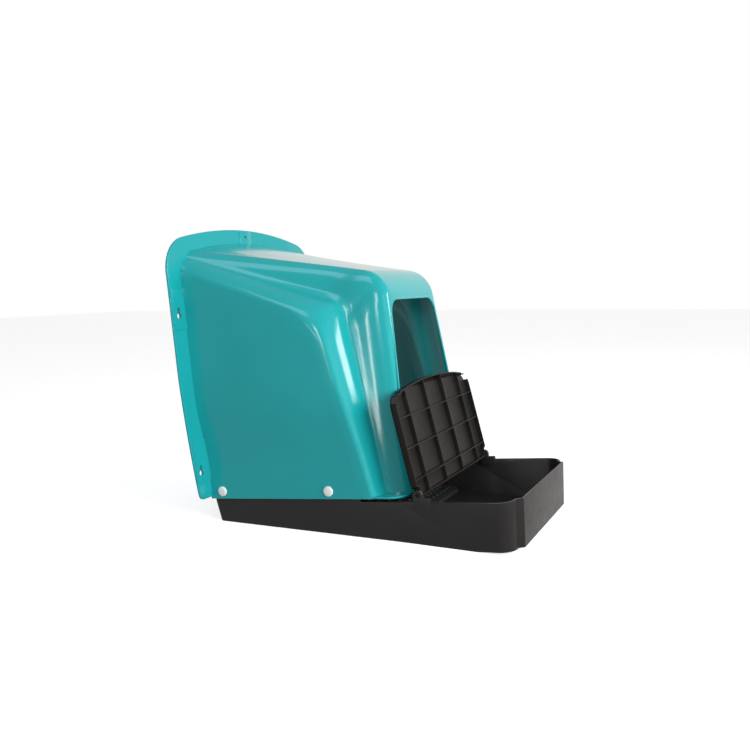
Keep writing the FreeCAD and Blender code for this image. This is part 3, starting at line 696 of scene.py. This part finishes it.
def plastic(name, tones, rough, grain_scale, grain_depth, wave_depth=0.0, coat=0.0, shine=0.5):
    """Moulded plastic: a drifting tone, fine grain, slow sink marks and faint scuffs in its gloss."""
    made, nodes, links, shader = material(name)
    coords = nodes.new("ShaderNodeTexCoord")
    drift = noise_node(nodes, links, coords, DRIFT_SCALE, 4.0)
    tone = ramp_node(nodes, links, drift.outputs["Fac"], [(0.3, tones[0]), (0.7, tones[1])])
    links.new(tone.outputs["Color"], shader.inputs["Base Color"])
    scuff = noise_node(nodes, links, coords, SCUFF_SCALE, 8.0, 0.7)
    low, high = rough
    gloss = ramp_node(nodes, links, scuff.outputs["Fac"], [(0.35, (low,) * 3), (0.75, (high,) * 3)])
    links.new(gloss.outputs["Color"], shader.inputs["Roughness"])
    grain = noise_node(nodes, links, coords, grain_scale, 2.0)
    normal = bump_node(nodes, links, grain.outputs["Fac"], GRAIN_STRENGTH, grain_depth)
    if wave_depth:
        wave = noise_node(nodes, links, coords, WAVE_SCALE, 1.0)
        normal = bump_node(nodes, links, wave.outputs["Fac"], WAVE_STRENGTH, wave_depth, normal)
    links.new(normal.outputs["Normal"], shader.inputs["Normal"])
    shader.inputs["IOR"].default_value = 1.5
    shader.inputs["Coat Weight"].default_value = coat
    shader.inputs["Coat Roughness"].default_value = 0.1
    shader.inputs["Specular IOR Level"].default_value = shine
    return made


def paint(obj, made):
    obj.data.materials.clear()
    obj.data.materials.append(made)


# ---------------------------------------------------------------- stage

FLOOR_GLOW = 0.62
FLOOR_AT = (0.0, 424.0, -68.5)  # a point of the underside's front end, which the floor passes under
FLOOR_GAP = 0.0004  # metres below it
FLOOR_REACH = 9.0  # metres to the floor's far edges
FLOOR_LEFT = -2.0  # metres to its near edge, behind the camera


def make_stage():
    """A pale floor parallel to the box's underside, which it stands on."""
    contact = place(*FLOOR_AT)
    bm = bmesh.new()
    way = Vector((0, math.cos(FLOOR_SLOPE), math.sin(FLOOR_SLOPE)))
    corners = []
    for along, ends in ((-FLOOR_REACH, (FLOOR_LEFT, FLOOR_REACH)), (FLOOR_REACH, (FLOOR_REACH, FLOOR_LEFT))):
        corners += [contact + Vector((across, 0, 0)) + way * along for across in ends]
    bm.faces.new([bm.verts.new(c - Vector((0, 0, FLOOR_GAP))) for c in corners])
    floor = new_object("floor", bm)
    made, nodes, links, shader = material("floor_paper")
    coords = nodes.new("ShaderNodeTexCoord")
    fibre = noise_node(nodes, links, coords, 3.0, 3.0)
    tone = ramp_node(nodes, links, fibre.outputs["Fac"], [(0.3, (0.86,) * 3), (0.7, (0.89,) * 3)])
    links.new(tone.outputs["Color"], shader.inputs["Base Color"])
    shader.inputs["Roughness"].default_value = 0.9
    shader.inputs["Emission Color"].default_value = (1.0, 1.0, 1.0, 1.0)
    shader.inputs["Emission Strength"].default_value = FLOOR_GLOW
    paint(floor, made)
    floor.visible_glossy = False
    floor.visible_diffuse = False


BRIGHT_WAY = (0.93, 0.2, 0.05)  # the direction of the room's bright side, on the box's right
ROOM_GLOW = [  # from the opposite side, at 0, to that one, at 1
    (0.0, (0.34, 0.34, 0.34)),
    (0.3, (0.4, 0.4, 0.4)),
    (0.5, (0.45, 0.45, 0.45)),
    (0.87, (0.45, 0.45, 0.45)),
    (0.92, (1.25, 1.18, 1.15)),
    (0.97, (1.25, 1.21, 1.18)),
]
ROOM_STRENGTH = 0.72
LIGHTS_AIM = Vector((0, -0.25, -0.25))  # about the middle of the box
WHITE_LIGHT = (1, 1, 1)
LIGHTS = (  # name, direction from the aim, distance, size, power, colour and whether it shows in the gloss
    ("key", (0.40, -0.87, 0.26), 2.2, (0.8, 0.42), 9, WHITE_LIGHT, True),
    ("fill", (-0.30, -0.93, 0.20), 2.4, (1.5, 1.2), 56, WHITE_LIGHT, False),
    ("strip", (-0.88, -0.28, 0.34), 2.2, (0.3, 0.6), 4, WHITE_LIGHT, True),
    ("crease_line", (-0.95, 0.07, 0.12), 2.2, (0.12, 0.55), 2.4, WHITE_LIGHT, True),
    ("haze", (-0.6, -0.03, 0.8), 2.2, (0.9, 0.8), 4.5, (0.75, 0.85, 1.0), True),
)


def soft_light(name, direction, distance, size, power, colour, in_gloss):
    """A rectangular softbox in a direction from the box."""
    data = bpy.data.lights.new(name, "AREA")
    data.shape = "RECTANGLE"
    data.size, data.size_y = size
    data.energy = power
    data.color = colour
    lamp = bpy.data.objects.new(name, data)
    bpy.context.scene.collection.objects.link(lamp)
    lamp.location = LIGHTS_AIM + Vector(direction).normalized() * distance
    lamp.rotation_euler = (LIGHTS_AIM - lamp.location).to_track_quat("-Z", "Y").to_euler()
    lamp.visible_glossy = in_gloss


def make_world():
    """White as the camera sees it; as a light, a dim room with one bright side."""
    world = bpy.data.worlds.new("studio")
    bpy.context.scene.world = world
    world.use_nodes = True
    nodes, links = world.node_tree.nodes, world.node_tree.links
    output = nodes["World Output"]
    room = nodes["Background"]
    coords = nodes.new("ShaderNodeTexCoord")
    toward = nodes.new("ShaderNodeVectorMath")
    toward.operation = "DOT_PRODUCT"
    toward.inputs[1].default_value = Vector(BRIGHT_WAY).normalized()
    links.new(coords.outputs["Generated"], toward.inputs[0])
    spread = nodes.new("ShaderNodeMapRange")
    spread.inputs["From Min"].default_value = -1.0
    links.new(toward.outputs["Value"], spread.inputs["Value"])
    glow = ramp_node(nodes, links, spread.outputs["Result"], ROOM_GLOW)
    links.new(glow.outputs["Color"], room.inputs["Color"])
    room.inputs["Strength"].default_value = ROOM_STRENGTH
    backdrop = nodes.new("ShaderNodeBackground")
    backdrop.inputs["Color"].default_value = (1.0, 1.0, 1.0, 1.0)
    backdrop.inputs["Strength"].default_value = 1.0
    path = nodes.new("ShaderNodeLightPath")
    mix = nodes.new("ShaderNodeMixShader")
    links.new(path.outputs["Is Camera Ray"], mix.inputs["Fac"])
    links.new(room.outputs["Background"], mix.inputs[1])
    links.new(backdrop.outputs["Background"], mix.inputs[2])
    links.new(mix.outputs["Shader"], output.inputs["Surface"])


def make_lights():
    make_world()
    for light in LIGHTS:
        soft_light(*light)


CAMERA_LENS = 38.4
CAMERA_SENSOR = 36.0
CAMERA_AT = (-1.14617, -0.79355, -0.15443)
CAMERA_TURN = (63.565, 4.223, -5.672)  # heading from straight at the wall, pitch down and roll, in degrees


def make_camera():
    data = bpy.data.cameras.new("camera")
    data.lens = CAMERA_LENS
    data.sensor_width = CAMERA_SENSOR
    camera = bpy.data.objects.new("camera", data)
    bpy.context.scene.collection.objects.link(camera)
    heading, pitch, roll = (math.radians(a) for a in CAMERA_TURN)
    level = math.cos(pitch)
    ahead = Vector((math.sin(heading) * level, math.cos(heading) * level, -math.sin(pitch)))
    right = Vector((math.cos(heading), -math.sin(heading), 0.0))
    up = right.cross(ahead)
    right, up = (
        right * math.cos(roll) + up * math.sin(roll),
        up * math.cos(roll) - right * math.sin(roll),
    )
    turn = Matrix((right, up, -ahead)).transposed()
    camera.matrix_world = Matrix.Translation(CAMERA_AT) @ turn.to_4x4()
    bpy.context.scene.camera = camera
    bpy.context.scene.view_settings.view_transform = "Standard"


# ---------------------------------------------------------------- build

# Each plastic's two tones; then the range of its roughness, and its grain's scale and depth. What follows is
# the depth of its sink marks, its clear coat and the strength of its plain gloss.
TEAL_TONES = ((0.010, 0.385, 0.40), (0.013, 0.41, 0.43))
BLACK_TONES = ((0.020, 0.0186, 0.018), (0.025, 0.0232, 0.0225))
LID_TONES = ((0.0115, 0.0108, 0.0092), (0.0145, 0.0137, 0.0118))
WHITE_TONES = ((0.93, 0.93, 0.91), (0.95, 0.95, 0.94))
MAT_TONES = ((0.024, 0.026, 0.024), (0.034, 0.037, 0.034))
TEAL = plastic("teal_gloss", TEAL_TONES, (0.15, 0.21), 700.0, 0.00002, 0.0004, coat=0.5)
BLACK = plastic("black_satin", BLACK_TONES, (0.34, 0.44), 1100.0, 0.00006, 0.0003, shine=0.55)
LID_BLACK = plastic("black_ribbed", LID_TONES, (0.42, 0.52), 1100.0, 0.00006, 0.0003, shine=0.22)
WHITE = plastic("white_plug", WHITE_TONES, (0.22, 0.32), 900.0, 0.00002)
MAT = plastic("mat_rubber", MAT_TONES, (0.55, 0.7), 500.0, 0.0002)


def dress(obj, made, body, node):
    paint(obj, made)
    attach(obj, body)
    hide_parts(node)


dress(make_hood(), TEAL, "nest", "hood")
dress(eased_copy("tray", "tray_shell", TRAY_EASE), BLACK, "nest", "tray")
dress(eased_copy("lid", "egg_lid", LID_EASE), LID_BLACK, "lid", "lid")
for spot, _, _ in rivet_spots():
    paint(frame["nodes"][f"rivet_{spot}"], WHITE)
    paint(frame["nodes"][f"socket_{spot}"], WHITE)
dress(make_mat(), MAT, "nest", "nest_mat")
make_stage()
make_lights()
make_camera()
